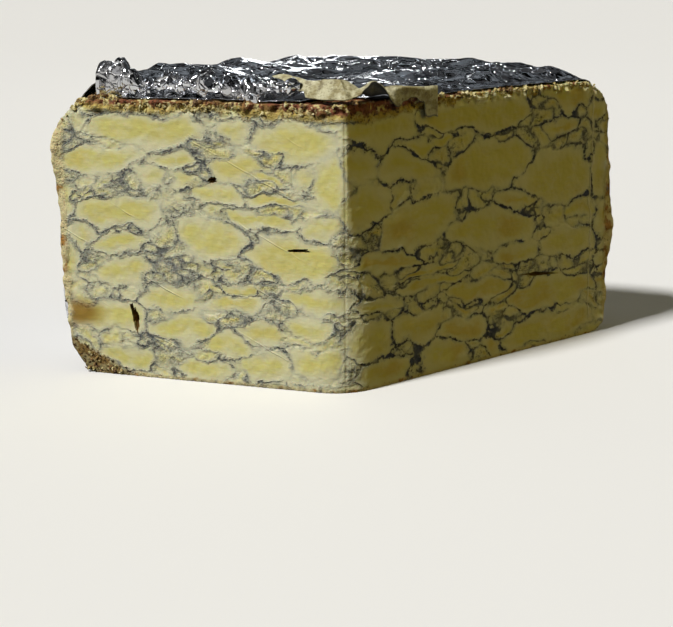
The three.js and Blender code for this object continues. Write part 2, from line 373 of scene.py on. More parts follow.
left_way, right_way, up = direction(LEFT), direction(RIGHT), Vector((0, 0, 1))
left_out = direction(LEFT + math.pi / 2)  # outward from each cut face
right_out = direction(RIGHT - math.pi / 2)


def curd_axes(way, out, tilt):
    """Three rows: along the curd, across it in the face's plane, and out of the face."""
    tilt = math.radians(tilt)
    along = way * math.cos(tilt) + up * math.sin(tilt)
    across = up * math.cos(tilt) - way * math.sin(tilt)
    return np.array([along, across, out])


def is_hidden(middle):
    """Away from the cut faces and from the rind that the foil leaves bare, or underneath."""
    inside = min((TIP - middle).dot(left_out), (TIP - middle).dot(right_out))
    return inside > HIDDEN_DEPTH or (inside > UNDERSIDE_INSET and middle.z < mm / 2)


bpy.ops.mesh.primitive_cylinder_add(
    vertices=DRUM_SIDES, radius=DRUM_RADIUS, depth=HEIGHT, location=DRUM_CENTRE + up * HEIGHT / 2
)
cheese = bpy.context.object
cheese.name = "cheese_wedge"
bpy.ops.object.transform_apply(location=True)
bpy.ops.object.mode_set(mode="EDIT")
select_in(cheese, "edges", lambda middle: middle.z > HEIGHT - mm)
bpy.ops.mesh.bevel(offset=SHOULDER, segments=10, affect="EDGES")
select_in(cheese, "edges", lambda middle: middle.z < mm)
bpy.ops.mesh.bevel(offset=FOOT, segments=6, affect="EDGES")
for out in (left_out, right_out):
    bpy.ops.mesh.select_all(action="SELECT")
    bpy.ops.mesh.bisect(plane_co=TIP, plane_no=out, use_fill=True, clear_outer=True)
bpy.ops.object.mode_set(mode="OBJECT")
apply_modifier(cheese, "REMESH", mode="VOXEL", voxel_size=VOXEL)

bpy.ops.object.mode_set(mode="EDIT")
select_in(cheese, "faces", is_hidden)
bpy.ops.mesh.decimate(ratio=HIDDEN_SHARE)
bpy.ops.object.mode_set(mode="OBJECT")

# Open splits in the two faces: place along, height, length, gap, depth in millimetres and tilt in degrees.
SPLITS = [
    (left_way, left_out, 66.5, 18.5, 7.8, 1.9, 3, 82), (left_way, left_out, 14.5, 41, 6.4, 0.9, 2.5, -3),
    (left_way, left_out, 40, 60, 3, 1.9, 2, -14), (right_way, right_out, 79, 23.5, 15, 1.4, 2, -6),
]
gashes = []
for way, out, run, rise, long, wide, depth, tilt in SPLITS:
    bpy.ops.mesh.primitive_ico_sphere_add(subdivisions=4, radius=0.5)
    gash = bpy.context.object
    ball = read_points(gash)
    lumps = 1 + 0.35 * bumps(ball, 0.3, run) + 0.2 * bumps(ball, 0.1, run)
    shape = ball * lumps[:, None] * [long, wide, 2 * depth]
    middle = np.array(TIP) / mm + np.array(way) * run + [0, 0, rise]
    move_points(gash, (shape @ curd_axes(way, out, tilt) + middle) * mm)
    gashes.append(gash)
bpy.ops.object.select_all(action="DESELECT")
for gash in gashes:
    gash.select_set(True)
bpy.context.view_layer.objects.active = gashes[0]
bpy.ops.object.join()
cutter = bpy.context.object
bpy.ops.object.mode_set(mode="EDIT")
bpy.ops.mesh.select_all(action="SELECT")
bpy.ops.mesh.normals_make_consistent(inside=False)
bpy.ops.object.mode_set(mode="OBJECT")
apply_modifier(cheese, "BOOLEAN", operation="DIFFERENCE", object=cutter, solver="EXACT")
bpy.data.objects.remove(cutter)


class Curd:
    """A curd as a flattened ball, in millimetres from the foot of the front edge."""

    def __init__(self, way, out, run, height, half_length, half_height, tilt):
        self.middle = np.array(way) * run + np.array([0, 0, height])
        self.axes = curd_axes(way, out, tilt)
        self.radii = np.array([half_length, half_height, min(half_length, CURD_DEPTH)])

    def distance(self, points):
        """About how far each point lies outside the curd, less than 0 inside it."""
        offset = (points - self.middle) @ self.axes.T
        far = np.linalg.norm(offset, axis=1)
        stretched = np.linalg.norm(offset / self.radii, axis=1)
        return far * (1 - 1 / np.maximum(stretched, 0.05))


faces = [
    (left_way, left_out, LEFT_CURDS, LEFT_LENGTH, LEFT_SPACING),
    (right_way, right_out, RIGHT_CURDS, RIGHT_LENGTH, RIGHT_SPACING),
]
large_curds = [Curd(way, out, *values) for way, out, listed, *_ in faces for values in listed]
small_curds = []
draws = random.Random(7)
for way, out, _, face_length, spacing in faces:
    for column in range(int(face_length / spacing)):
        for row in range(int(HEIGHT / mm / (spacing * SMALL_FLATNESS))):
            run = (column + draws.uniform(0, 1)) * spacing
            rise = (row + draws.uniform(0, 1)) * spacing * SMALL_FLATNESS
            length = draws.uniform(*SMALL_CURD)
            tallness = length * draws.uniform(*SMALL_SLIMNESS)
            small = Curd(way, out, run, rise, length, tallness, draws.gauss(0, SMALL_TILT))
            if min(curd.distance(small.middle[None])[0] for curd in large_curds) > SMALL_CLEARANCE:
                small_curds.append(small)
curds = large_curds + small_curds
first_small = len(large_curds)

# How far each point lies from each curd, one column a curd, with the joins made to wander.
points = read_points(cheese)
local = (points - np.array(TIP)) / mm
wander = sum(
    np.stack([bumps(local, size, seed) for seed in seeds], axis=1) * far for size, far, seeds in WANDERS
)
apart = np.stack([curd.distance(local + wander) for curd in curds], axis=1).astype(np.float32)
apart[:, first_small:] += SMALL_PRESSED

# Curds are put in groups, so that the finish finds the joins from a few numbers at each point.
nearest = np.argsort(apart, axis=1)[:, :NEIGHBOURS]
ways_off = np.take_along_axis(apart, nearest, axis=1)
touching = {curd: set() for curd in range(len(curds))}
for closer in range(NEIGHBOURS):
    for farther in range(closer + 1, NEIGHBOURS):
        close = ways_off[:, farther] - ways_off[:, closer] < TOUCHING
        for one, other in set(zip(nearest[close, closer].tolist(), nearest[close, farther].tolist())):
            touching[one].add(other)
            touching[other].add(one)
group = {}
for curd in sorted(touching, key=lambda curd: -len(touching[curd])):
    taken = [group[other] for other in touching[curd] if other in group]
    group[curd] = min(range(GROUPS), key=lambda kind: (taken.count(kind), kind))
kinds = np.array([group[curd] for curd in range(len(curds))])
by_group = np.stack([apart[:, kinds == kind].min(axis=1) for kind in range(GROUPS)], axis=1)
mottled = smooth(apart[:, :first_small].min(axis=1) - apart[:, first_small:].min(axis=1), -0.5, 2.5)
closest = np.sort(by_group, axis=1)
join_gap = closest[:, 1] - closest[:, 0]

normals = read_points(cheese, "normal")
from_left, from_right = -local @ np.array(left_out), -local @ np.array(right_out)  # behind each cut face
height = local[:, 2]
outward = points - np.array(DRUM_CENTRE)
outward[:, 2] = 0
from_axis = np.linalg.norm(outward, axis=1)
outward /= np.maximum(from_axis, mm)[:, None]
from_side = (DRUM_RADIUS - from_axis) / mm
azimuth = np.arctan2(local[:, 1], local[:, 0])
across = (azimuth - RIGHT) / (LEFT - RIGHT)  # 0 at the right face, 1 at the left
top = HEIGHT / mm

# The side bulges, is lumpy, and is pressed in where the left foot broke away.
dent = FOOT_DENT * smooth(across, 0.9, 1) * bell(height, DENT_HEIGHT, DENT_BREADTH)
near_side = smooth(-from_side, -40, 0)
bulge = side_bulge(height, across) - dent
moved = points + outward * (bulge * near_side)[:, None] * mm

steep = 1 - np.abs(normals[:, 2])
is_rind = smooth(-from_side, -6, 0) * steep
rind = RIND_LUMPS * (0.7 * bumps(local, 15, 0.5) + 0.4 * bumps(local, 6, 5.3))
rind += RIND_PITS * bumps(local, 2.4, 3.1)
is_crust = smooth(height, top - CRUST_DEPTH, top - 1.5) * (0.25 + 0.75 * steep)
crust = CRUMBLE * (0.7 * bumps(local, 4, 8.6) + 0.8 * bumps(local, 1.9, 2.6))
gritty = smooth(-closest[:, 0], -1.2, 1.5) * 0.5 + mottled
paste = PASTE_WAVES * bumps(local, 30, 2.1) + PASTE_GRAIN * bumps(local, 2.6, 6.2)
sunken = 0.4 + 0.6 * bumps(local, 12, 9.4)
veins = -VEIN_DEPTH * bell(join_gap, 0, 0.9) * sunken
veins = veins - VEIN_GRIT * gritty * (bumps(local, 1.3, 1.1) + 0.6)
relief = rind * is_rind + (crust * is_crust + (paste + veins) * (1 - is_crust)) * (1 - is_rind)
moved += normals * (relief * smooth(height, 0, 3))[:, None]

# The front edge has slumped to a round one low down.
edge_radius = SHARP_EDGE + (WORN_EDGE - SHARP_EDGE) * smooth(-height, -SLUMP_FROM, -SLUMP_TO)
half_corner = math.pi / 2 - (LEFT - RIGHT) / 2
rounded = edge_radius / mm * math.tan(half_corner)
from_edge = np.hypot(local[:, 0], local[:, 1])
slump = edge_radius * (1 / math.cos(half_corner) - 1) * np.clip(1 - from_edge / rounded, 0, 1) ** 2
moved[:, 1] += slump
move_points(cheese, moved)

JOINS = ("joins_a", "joins_b", "joins_c")
for column, name in enumerate(JOINS):
    store(cheese, name, by_group[:, 3 * column : 3 * column + 3])
near_split = [
    Curd(way, out, run, rise, long / 2 + 1, wide / 2 + 1, tilt).distance(local)
    for way, out, run, rise, long, wide, _, tilt in SPLITS
]
store(cheese, "mottled", mottled)
in_split = np.min(near_split, axis=0) < 1
# Behind the faces, inside the open splits, the paste is painted darker brown: painted shade in the recesses.
store(cheese, "split_painted_shade", smooth(np.minimum(from_left, from_right), 0.1, 0.8) * in_split)
bpy.context.view_layer.objects.active = cheese
bpy.ops.object.shade_smooth()


def paint(red, green, blue):
    """A colour from 0 to 255 on the screen's scale, as a shader wants it."""
    parts = (red / 255, green / 255, blue / 255)
    return tuple(((c + 0.055) / 1.055) ** 2.4 if c > 0.04 else c / 12.92 for c in parts)


PALE_PASTE = paint(230, 226, 184)
RICH_PASTE = paint(222, 213, 120)
HALO = paint(176, 178, 162)
MOULD = paint(120, 124, 126)
VEIN = paint(52, 56, 64)
# Vein colour with painted shade, for the right face in shade.
SHADED_FACE_VEIN = paint(24, 26, 30)
GRAIN = paint(236, 231, 202)
CRUST = paint(146, 112, 66)
OCHRE = paint(196, 174, 100)
RED_CRUST = paint(134, 84, 60)
DARK_CRUST = paint(60, 42, 24)
CRUMB = paint(214, 198, 140)
RIND = paint(226, 212, 160)
RIND_SPOTS = paint(176, 132, 70)
OCHRE_PATCH = paint(150, 114, 38)
FOOT_BROWN = paint(122, 106, 62)
# painted shade deep in the open splits
SPLIT_PAINTED_SHADE = paint(128, 92, 26)
AMBER = paint(204, 172, 84)
WIGGLE = 4.5  # millimetres that the joins wander by, at most
CURD_EDGE = 0.45 * WIGGLE  # about what the wiggle adds to the distance of 0 at a curd's edge
SCRATCH_RUN = 89.4  # of a pale upright scratch that the knife's tip left on the right face
KNIFE_LINES = 7  # millimetres between faint slanting lines on the left one
# An ochre-brown patch, strongest at its middle, round the open split at the left.
OCHRE_PATCH_PLACE = (-74, 44, 18.5)  # round the open split at the left
OCHRE_PATCH_SPREAD = (0.1, 0.05, 0.19)  # one over its reach each way
BREAK_START, BREAK_STEEPNESS = 60.5, 0.6  # of the slant where the left foot broke away

skin = Finish("veined_paste")
from_tip = skin.vector("MULTIPLY", skin.vector("SUBTRACT", skin.place, tuple(TIP)), (1 / mm,) * 3)
x, _, z = skin.parts(from_tip)
# The two faces are painted as lit and shaded copies: more bloom and cloud on the left face in the side
# light, and darker, stronger veins on the right face in shade.
left_part = x.rise(5, -3)  # where the side light shows the mould's bloom

patchy = skin.noise(13 * mm, 2)
banded = skin.noise(11 * mm, 3, skin.squeezed(0.75, 0.75, 1.9))
blotch = skin.noise(5 * mm, 3)
broken = skin.noise(4 * mm, 4, Roughness=0.6)
smear = skin.noise(3 * mm, 3, skin.squeezed(1, 1, 4))
grit = skin.noise(1.1 * mm, 4, Roughness=0.62)
dust = skin.noise(0.5 * mm, 2)

# The two least of nine ways, one to each group of curds, tell where a join is.
wiggled = []
for number, name in enumerate(JOINS):
    wiggle = skin.noise(2.6 * mm, 5, skin.shifted(number * 0.31, 0.17, 0), "Color", Roughness=0.62)
    wiggled.append(skin.vector("MULTIPLY_ADD", wiggle, (WIGGLE,) * 3, skin.attribute(name, "Vector")))
low = skin.vector("MINIMUM", wiggled[0], wiggled[1])
high = skin.vector("MAXIMUM", wiggled[0], wiggled[1])
next_low = skin.vector("MINIMUM", high, skin.vector("MAXIMUM", low, wiggled[2]))
lowest = skin.vector("MINIMUM", low, wiggled[2])
a, b, c = skin.parts(lowest)
d, e, f = skin.parts(next_low)
first = a.lowest(b).lowest(c)
middle = a.lowest(b).highest(a.highest(b).lowest(c))
second = middle.lowest(d).lowest(e).lowest(f)
join = second - first
inside = CURD_EDGE - first

# Mould: dark cores along some of the joins, thickened in knots, each in a paler bloom and a grey halo.
between = skin.attribute("mottled") * patchy.rise(0.4, 0.62)
spread = patchy * 0.55 + broken * 0.65
shown_part = patchy * 0.3 + banded * 0.6 + broken * 0.3 + (1 - left_part) * 0.02
strong = shown_part.rise(0.51, 0.66) * (1 - between * 0.5)
knot = skin.noise(6 * mm, 2, skin.shifted(0.7, 0, 0)).rise(0.56, 0.68)
knot = knot * banded.rise(0.42, 0.58) * (1 - left_part * 0.7)
thick = skin.noise(3.4 * mm, 2, skin.shifted(0.4, 0, 0)) * 2.6 - 0.75 - left_part * 0.35 + knot * 1.5
ragged = join + (grit - 0.5) * (3.8 + left_part) + (dust - 0.5) * 2.2 - thick - (1 - left_part) * 0.2
core = ragged.rise(0.3, -0.6) * strong
feathery = join + (grit - 0.5) * 5 + (dust - 0.5) * 2.4 + (blotch - 0.5) * 2 - thick * 0.7
bloom = feathery.rise(2.2, -0.4) * shown_part.rise(0.5, 0.72) * (0.55 + left_part * 0.45)
halo = join.rise(3.4, 0.2) * spread.rise(0.42, 0.7)

# Between the curds the mould has spread in ragged streaks and clouds, with dark specks and pale grains.
cloud = (between * 0.9 + halo * 0.35) * broken.rise(0.46, 0.64)
streaky = skin.noise(2.4 * mm, 5, skin.squeezed(1, 1, 2.1), Roughness=0.66)
streak = abs(streaky - 0.5).rise(0.036, 0.006) * cloud.rise(0.15, 0.7)
grainy = grit * 0.6 + dust * 0.5
speckled_part = 0.3 + left_part * 0.7
specks = grainy.rise(0.57, 0.64) * (between * 0.8 + bloom * 0.6) * speckled_part
grains = grainy.rise(0.5, 0.43) * (between * 0.9 + halo * 0.6) * speckled_part

rich = inside.rise(-1.2, 4.6) * (blotch * 0.7 + smear * 0.3).rise(0.1, 0.6)
amber = skin.noise(26 * mm, 2).rise(0.5, 0.66) * (1 - left_part * 0.7)
# The veins are painted darker on the right face: painted shade for that face lying in shade.
vein_colour = skin.mix(left_part, SHADED_FACE_VEIN, VEIN)
scratch = abs(x - SCRATCH_RUN + (patchy - 0.5) * 5 + (grit - 0.5) * 1.2)
scratch = scratch.rise(0.42, 0.12) * z.rise(4, 8) * broken.rise(0.3, 0.45)
slant = skin.dot(from_tip, (0.5, 0, 0.87)) + (patchy - 0.5) * 3
knife = slant.math("PINGPONG", slant, KNIFE_LINES).rise(0.3, 0) * x.rise(-8, -20) * patchy.rise(0.5, 0.66)
# An ochre-brown patch round the open split at the left, strongest at its middle.
from_ochre_patch = skin.vector("MULTIPLY", skin.vector("SUBTRACT", from_tip, OCHRE_PATCH_PLACE), OCHRE_PATCH_SPREAD)
ochre_patch = skin.length(from_ochre_patch).rise(1.1, 0.3)

# The crust is brown from near the front edge to the left shoulder, and only spotted on the right.
brown_part = x.rise(-76, -66) * x.rise(44, 26)
spotted = (1 - brown_part) * (broken.rise(0.62, 0.5) * 3)
top_depth = top - z + (blotch - 0.5) * 3.4 + (grit - 0.5) * 3 + spotted
deep = x.rise(-34, -12) * x.rise(30, 14) * 1.6 + (patchy - 0.5) * 6 * brown_part
crusty = (top_depth - deep).rise(3.9, 2.2)
crust_colour = skin.coats(
    CRUST,
    ((blotch + x.rise(-30, -8) * 0.1).rise(0.44, 0.56), RED_CRUST),
    ((top_depth - deep).rise(0.5, 1.9), OCHRE),
    (grit.rise(0.46, 0.34), DARK_CRUST),
    (skin.noise(2.2 * mm, 3).rise(0.54, 0.64), CRUMB),
)

# The rind of the drum's side shows at the faces' far ends, at the foot and where the left foot broke away.
off_centre = skin.vector("SUBTRACT", skin.place, tuple(DRUM_CENTRE))
side_depth = DRUM_RADIUS / mm - skin.length(skin.vector("MULTIPLY", off_centre, (1, 1, 0))) * (1 / mm)
broken_foot = z + (x + BREAK_START) * BREAK_STEEPNESS  # height over the slant
foot_part = (broken_foot + (grit - 0.5) * 5).rise(2.6, 0.6) * x.rise(-54, -60)
rindy = (side_depth + (blotch - 0.5) * 3 + (grit - 0.5) * 2.4).rise(2.2, 0.4).highest(foot_part)
foot = (z + (grit - 0.5) * 2).rise(1.6, 0.4)
rind_colour = skin.coats(
    RIND,
    ((blotch + foot_part * 0.1).rise(0.54, 0.64), RIND_SPOTS),
    (broken.rise(0.58, 0.68) * 0.8, MOULD),
    (foot_part * 0.75, FOOT_BROWN),
    ((grit - foot_part * 0.1).rise(0.4, 0.3), DARK_CRUST),
)

cheese_colour = skin.coats(
    PALE_PASTE,
    (rich * 0.9, RICH_PASTE),
    (amber * rich * 0.5, AMBER),
    (halo * 0.45, HALO),
    (grains * 0.4, GRAIN),
    (cloud * (0.12 + left_part * 0.2), MOULD),
    (bloom * 0.66, MOULD),
    (specks * 0.45, VEIN),
    (streak * (0.9 - left_part * 0.4), vein_colour),
    (core * (0.98 - left_part * 0.16), vein_colour),
    # painted shade inside the open splits
    (skin.attribute("split_painted_shade") * 0.9, SPLIT_PAINTED_SHADE),
    (scratch * 0.75, GRAIN),
    (knife * 0.3, GRAIN),
    (ochre_patch * 0.9, OCHRE_PATCH),
    (rindy.highest(foot), rind_colour),
    (crusty, crust_colour),
)
dull = 0.4 + bloom * 0.25 + crusty * 0.3 + rindy * 0.2 + (grit - 0.5) * 0.25
rough_part = (bloom + between * 0.7 + crusty + rindy).lowest(1)
uneven = grit * (0.16 + rough_part) + dust * rough_part * 0.4 + (1 - core) * 0.4 + smear * 0.1
uneven = uneven + scratch * 0.5 + knife * 0.25
cheese_finish = skin.surface(
    (uneven, 0.5 * mm), base_color=cheese_colour, roughness=dull, specular_ior_level=0.12,
    subsurface_weight=0.1, subsurface_scale=2 * mm,
)
cheese.data.materials.clear()
cheese.data.materials.append(cheese_finish)

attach(cheese, "root")
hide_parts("cheese")

# ======== Crumbs ========
# Bits of paste and crust that broke away when the foil was pulled back. They lie along both top edges, in a
# heap on the bare left shoulder and down the slant of the broken left foot.

SLANT_START, SLANT_STEEPNESS = 71, 0.55  # of the left foot, along the left face
SLANT_RUNS = (72, 84.5)


def surface_height(flat):
    """Height of the drum's top and shoulder over points in millimetres from the front edge's foot."""
    radius, shoulder = DRUM_RADIUS / mm, SHOULDER / mm
    from_axis = np.linalg.norm(flat - np.array(DRUM_CENTRE - TIP)[:2] / mm, axis=1)
    inset = np.clip(radius - from_axis, 0, shoulder)
    return (HEIGHT - SHOULDER) / mm + np.sqrt(shoulder**2 - (shoulder - inset) ** 2)


def top_crumbs(draws, way, out, count, runs, back, above, sizes):
    """Places and sizes of crumbs that lie in clusters at the top of a cut face."""
    run = draws.uniform(*runs, count * 2)
    crowd = bumps(np.stack([run, run * 0, run * 0], axis=1), 6, sum(sizes))
    crowd = crowd + draws.uniform(-0.5, 0.5, count * 2)
    run = run[np.argsort(-crowd)[:count]]
    inward = draws.uniform(*back, count)
    place = run[:, None] * np.array(way) - inward[:, None] * np.array(out)
    size = sizes[0] + (sizes[1] - sizes[0]) * draws.uniform(0, 1, count) ** 2.5
    place[:, 2] = surface_height(place[:, :2]) + draws.uniform(*above, count) + size * 0.3
    return place, size


def foot_crumbs(draws, count):
    """Places and sizes of those that lie down the slant of the left foot."""
    run = draws.uniform(*SLANT_RUNS, count)
    inward = draws.uniform(-0.1, 0.6, count)
    place = run[:, None] * np.array(left_way) - inward[:, None] * np.array(left_out)
    rise = (run - SLANT_START) * SLANT_STEEPNESS
    place[:, 2] = rise * draws.uniform(0, 1, count) + draws.uniform(0.4, 1, count)
    return place, draws.uniform(0.4, 1.1, count)


def crumb_piece(name, spots, seed):
    """One mesh of lumpy balls, each turned and stretched its own way."""
    bpy.ops.mesh.primitive_ico_sphere_add(subdivisions=2, radius=1)
    ball = bpy.context.object
    shape = read_points(ball)
    corners = np.array([face.vertices[:] for face in ball.data.polygons])
    bpy.data.objects.remove(ball)
    draws = np.random.default_rng(seed)
    points, triangles = [], []
    for number, (place, size) in enumerate(spots):
        turn = np.array(Matrix.Rotation(draws.uniform(0, 6), 3, Vector(draws.normal(size=3))))
        lumps = 1 + 0.55 * bumps(shape, 0.9, number * 3.1) + 0.4 * bumps(shape, 0.45, number * 1.7)
        grown = shape * np.maximum(lumps, 0.35)[:, None] * draws.uniform(0.6, 1.3, 3) * size / 2
        points.append(grown @ turn + place)
        triangles.append(corners + len(shape) * number)
    mesh = bpy.data.meshes.new(name)
    mesh.from_pydata(np.concatenate(points) * mm + np.array(TIP), [], np.concatenate(triangles).tolist())
    piece = bpy.data.objects.new(name, mesh)
    bpy.context.collection.objects.link(piece)
    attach(piece, "root")
    return piece


# Crumbs on each face: how many, from where to where along it, how far back and above, and their sizes.
draws = np.random.default_rng(31)
pale = [
    top_crumbs(draws, left_way, left_out, 230, (2, 76), (-0.2, 1), (-3.2, -0.4), (0.4, 1.5)),
    top_crumbs(draws, left_way, left_out, 110, (70, 88), (0, 9), (-0.4, 0.1), (0.6, 2.6)),
    top_crumbs(draws, right_way, right_out, 150, (2, 108), (-0.2, 1), (-1.4, -0.1), (0.4, 1.5)),
]
brown = [
    top_crumbs(draws, left_way, left_out, 150, (4, 72), (-0.2, 1.6), (-1.8, -0.2), (0.4, 1.4)),
    top_crumbs(draws, left_way, left_out, 14, (74, 88), (0, 7), (0, 0.5), (0.8, 2)),
    top_crumbs(draws, right_way, right_out, 40, (2, 70), (-0.2, 1.4), (-0.9, 0.3), (0.6, 1.5)),
]
pale.append(foot_crumbs(draws, 24))
brown.append(foot_crumbs(draws, 30))

for name, heaps, seed, first, second, third in (
    ("paste_crumbs", pale, 5, paint(208, 196, 138), paint(176, 156, 88), paint(226, 219, 178)),
    ("crust_crumbs", brown, 6, paint(142, 106, 62), paint(92, 64, 40), paint(176, 150, 84)),
):
    spots = [(place, size) for places, sizes in heaps for place, size in zip(places, sizes)]
    piece = crumb_piece(name, spots, seed)
    crumb = Finish(name + "_finish")
    crumb_colour = crumb.coats(
        first,
        (crumb.noise(2 * mm, 3).rise(0.42, 0.6), second),
        (crumb.noise(0.8 * mm, 2).rise(0.5, 0.7), third),
    )
    grain = (crumb.noise(0.7 * mm, 3), 0.15 * mm)
    piece.data.materials.append(crumb.surface(grain, base_color=crumb_colour, roughness=0.6))

# ======== Foil wrap ========
# Thin aluminium foil that was crushed round the drum: it lies on the crust, bends over the shoulder and
# hangs down the side, with folds that gather there. Its cut edge is rolled up above the left face.

FOIL_CLEARANCE = 1.4  # over the crust, and the rest in millimetres too
FOIL_LEAST_CLEARANCE = 0.45
FOIL_START = 13  # from the front edge
FOIL_LOWEST = 6
FOIL_INSET = 0.8
FOIL_SETBACK_LEFT = 9.5
FOIL_SETBACK_RIGHT = 4.5
FOIL_FLARE = 3.6
FLARE_HEIGHT, FLARE_BREADTH = 17, 11
FOIL_LOOSENESS = 3.2
FOIL_CRUMPLE = 1.3
SIDE_CRUMPLE = 0.7
FOIL_THICKNESS = 0.12 * mm
SHOULDER_ARC = SHOULDER / mm * math.pi / 2
SIDE_STRAIGHT = (HEIGHT - SHOULDER) / mm - FOIL_LOWEST


def mapped_grid(name, rows, columns, place):
    """A sheet whose points `place` puts, from how far each one is along and across it, in millimetres."""
    bpy.ops.mesh.primitive_grid_add(x_subdivisions=rows, y_subdivisions=columns, size=1)
    piece = bpy.context.object
    piece.name = name
    grid = read_points(piece) + 0.5
    move_points(piece, place(grid[:, 0], grid[:, 1]) * mm + np.array(TIP))
    bpy.ops.object.shade_smooth()
    return piece


def folds(flat, seed, count, width, long, height, lean=(0, math.pi)):
    """Sharp ridges and furrows on a sheet, each a straight one of its own width, length and height."""
    draws = np.random.default_rng(seed)
    low, high = flat.min(axis=0), flat.max(axis=0)
    total = np.zeros(len(flat))
    for _ in range(count):
        middle = draws.uniform(low, high)
        turn = draws.uniform(*lean)
        wide, half, tall = draws.uniform(*width), draws.uniform(*long) / 2, draws.uniform(*height)
        offset = flat - middle
        along = offset[:, 0] * math.cos(turn) + offset[:, 1] * math.sin(turn)
        aside = offset[:, 1] * math.cos(turn) - offset[:, 0] * math.sin(turn)
        aside = aside + 0.06 * along * np.sin(along / 7)
        ridge = np.clip(1 - np.abs(aside) / wide, 0, 1) * np.clip(1.3 - 1.3 * np.abs(along) / half, 0, 1)
        total += tall * draws.choice((-1, 1)) * ridge
    return total


def crease(flat, angle, size, seed):
    """Wide zigzag creases across a sheet, from -0.5 to 0.5."""
    straight = (flat[:, 0] * math.cos(angle) + flat[:, 1] * math.sin(angle)) / size
    along = straight + seed + 0.5 * bumps(np.pad(flat, ((0, 0), (0, 1))), 30, seed)
    return np.abs(along % 1 - 0.5) * 2 - 0.5


def drum_reach(azimuth):
    """How far the drum's side is from the front edge that way, in millimetres."""
    centre = np.array(DRUM_CENTRE - TIP) / mm
    towards = centre[0] * np.cos(azimuth) + centre[1] * np.sin(azimuth)
    return towards + np.sqrt((DRUM_RADIUS / mm) ** 2 - centre @ centre + towards**2)


def foil_lift(azimuth, path, lie, down, height, across):
    """How far the foil stands off the cheese: path is along the foil and lie is from the front edge."""
    flat = np.stack([path * np.cos(azimuth), path * np.sin(azimuth)], axis=1)
    from_left = lie * np.sin(LEFT - azimuth)
    from_right = lie * np.sin(azimuth - RIGHT)
    nearer = np.minimum(from_left, from_right)
    puffed = smooth(from_left, 0, 22) * smooth(from_right, 0, 60) * smooth(lie, 10, 50)
    wrinkled = crease(flat, 0.5, 23, 0.2) + 0.8 * crease(flat, 2.1, 17, 0.6)
    wrinkled = wrinkled + 0.6 * crease(flat, 1.2, 11, 0.9)
    sharp = folds(flat, 3, 420, (1.2, 5), (9, 40), (0.15, 0.7))
    sharp = sharp + folds(flat, 5, 500, (0.8, 2), (4, 14), (0.1, 0.3))
    loose = smooth(nearer, 0, 9) * smooth(lie, FOIL_START, 34)
    gathers = 0.5 * crease(flat, 2.6, 9, 0.3) * smooth(down, 4, 14) * smooth(-down, -60, -20)
    flare = FOIL_FLARE * smooth(across, 0.85, 1) * bell(height, FLARE_HEIGHT, FLARE_BREADTH)
    on_top = FOIL_LOOSENESS * puffed + FOIL_CRUMPLE * (wrinkled + 1.2) * loose
    at_side = SIDE_CRUMPLE * (wrinkled + 1.2) * smooth(down, 4, 18)
    lift = on_top * (1 - smooth(down, 0, SHOULDER / mm)) + at_side
    lift += flare + gathers + sharp * (0.35 + 0.65 * smooth(nearer, 0, 6))
    clearance = 0.7 + (FOIL_CLEARANCE - 0.3) * smooth(nearer, 2, 12)
    return np.maximum(clearance + lift, FOIL_LEAST_CLEARANCE)


def foil_place(along, across):
    """Along runs from the front edge over the shoulder and down, across from the right face to the left."""
    shoulder = SHOULDER / mm
    spread = across - np.sin(4 * math.pi * across) * 0.035 - np.sin(2 * math.pi * across) * 0.02
    spread_azimuth = RIGHT + (LEFT - RIGHT) * spread
    on_top = drum_reach(spread_azimuth) - shoulder
    path = FOIL_START + (on_top + SHOULDER_ARC + SIDE_STRAIGHT - FOIL_START) * along
    bare_left = FOIL_SETBACK_LEFT * smooth(path - on_top, -8, 2)
    bare_right = FOIL_SETBACK_RIGHT * smooth(path - on_top, 2, 16)
    leftmost = LEFT - FOIL_INSET / path - bare_left / (DRUM_RADIUS / mm)
    rightmost = RIGHT + FOIL_INSET / path + bare_right / (DRUM_RADIUS / mm)
    azimuth = np.clip(spread_azimuth, rightmost, leftmost)
    down = np.maximum(path - on_top, 0)
    bend = np.minimum(down, SHOULDER_ARC) / shoulder
    height = (HEIGHT - SHOULDER) / mm + shoulder * np.cos(bend) - np.maximum(down - SHOULDER_ARC, 0)
    bulged = side_bulge(height, across)
    lie = np.where(down > 0, drum_reach(azimuth) - shoulder * (1 - np.sin(bend)) + bulged, path)
    off = foil_lift(azimuth, path, lie, down, height, across)
    out = lie + np.sin(bend) * off
    return np.stack([out * np.cos(azimuth), out * np.sin(azimuth), height + np.cos(bend) * off], axis=1)


foil = mapped_grid("foil_sheet", 185, 215, foil_place)
apply_modifier(foil, "SOLIDIFY", thickness=FOIL_THICKNESS, offset=0)

HEM_START, HEM_LENGTH = 14, 63.5
HEM_WIDTH = 22  # of the strip that is rolled up
ROLL_START, ROLL_TURN = math.radians(-110), math.radians(390)
HEM_RADIUS = 3.1
HEM_BACK = 3.8  # of its middle from the cut face
HEM_LIFT = 2.5
STANDING_FROM, STANDING_TO = 62, 70  # where the last part comes to stand up in a fold
STANDING_LIFT = 2.2
PEAK_RUN, PEAK_BREADTH = 54, 3.5  # of a small peak before it
PLEAT_LEAN = (math.pi / 2 - 0.45, math.pi / 2 + 0.45)


